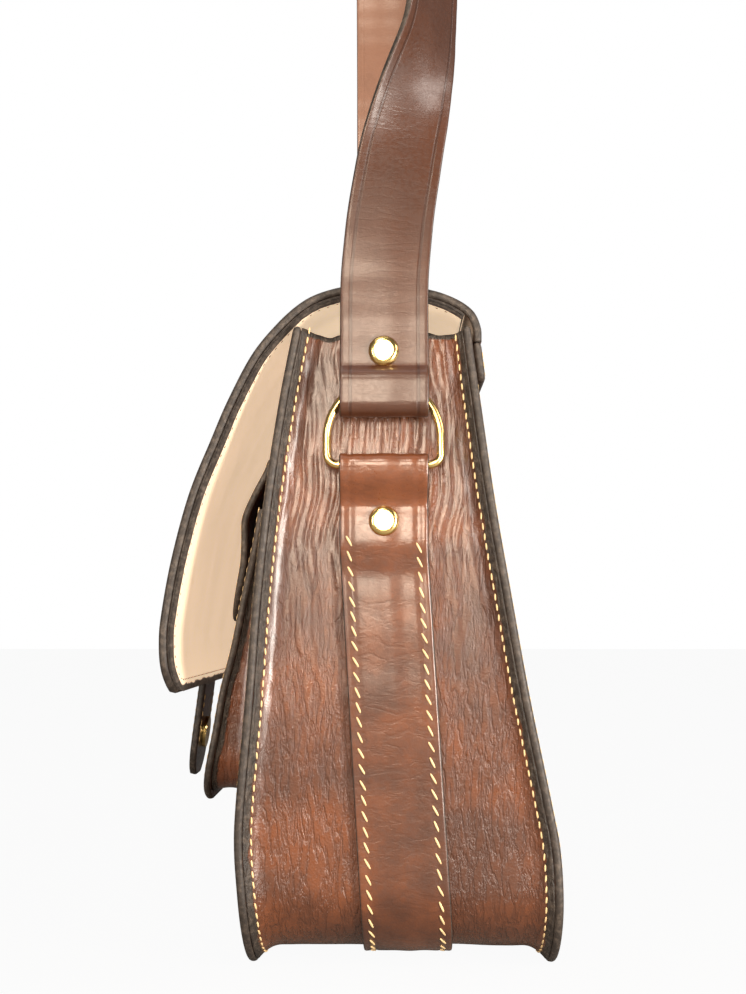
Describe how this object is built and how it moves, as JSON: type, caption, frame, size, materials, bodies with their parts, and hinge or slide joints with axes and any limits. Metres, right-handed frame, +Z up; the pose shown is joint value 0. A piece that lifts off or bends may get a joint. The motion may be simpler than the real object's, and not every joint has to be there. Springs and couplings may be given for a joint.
{
  "type": "sling bag",
  "caption": "Leather flap satchel with wrinkled side gusset, front pocket, riveted D rings and a flat shoulder strap",
  "frame": {"origin": "on the floor plane, under the middle of the base, at the middle plane between the two ends", "axes": "+X along the bag from end to end, -Y towards the flap front, +Z up along the raised strap"},
  "size_m": [0.291, 0.1512, 0.595],
  "materials": {
    "panel_leather": "glossy wrinkled brown leather",
    "gusset_leather": "glossy wrinkled brown leather",
    "strap_leather": "satin dark brown leather with tooled lines",
    "lining_suede": "matt natural flesh side",
    "brass": "polished brass"
  },
  "bodies": {
    "bag": {"front_panel": "panel_leather", "back_panel": "panel_leather", "gusset": "gusset_leather", "gusset_strip": "gusset_leather", "tab_rivet_caps": "brass", "tab_rivet_posts": "brass", "flap_seam": "panel_leather", "pocket_front": "panel_leather", "pocket_gusset": "gusset_leather", "pocket_stud": "brass", "lid_seam": "panel_leather"},
    "flap": {"flap_leather": "panel_leather", "flap_lining": "lining_suede", "closure_tongue": "panel_leather", "tongue_snap": "brass"},
    "lid": {"pocket_lid": "panel_leather"},
    "strap": {"shoulder_strap": "strap_leather", "strap_rivet_caps": "brass", "strap_rivet_posts": "brass"},
    "ring_right": {"d_ring_right": "brass"},
    "ring_left": {"d_ring_left": "brass"}
  },
  "joints": [
    {"name": "flap_open", "type": "hinge", "parent": "bag", "child": "flap", "pos_m": [0, 0.0311, 0.2257], "axis": [-1, 0, 0], "range_deg": [0, 150]},
    {"name": "lid_lift", "type": "hinge", "parent": "bag", "child": "lid", "pos_m": [0, -0.0506, 0.1857], "axis": [-1, 0, 0], "range_deg": [0, 75]},
    {"name": "strap_swing", "type": "hinge", "parent": "bag", "child": "strap", "pos_m": [0, -0.005, 0.19], "axis": [1, 0, 0], "range_deg": [-15, 15]},
    {"name": "ring_right_rock", "type": "hinge", "parent": "bag", "child": "ring_right", "pos_m": [0.1395, -0.005, 0.18], "axis": [0, 1, 0], "range_deg": [-2.5, 2.5]},
    {"name": "ring_left_rock", "type": "hinge", "parent": "bag", "child": "ring_left", "pos_m": [-0.1395, -0.005, 0.18], "axis": [0, 1, 0], "range_deg": [-2.5, 2.5]}
  ],
  "couplings": [
    {"joint": "lid_lift", "follows": "flap_open", "ratio": 0.5}
  ]
}
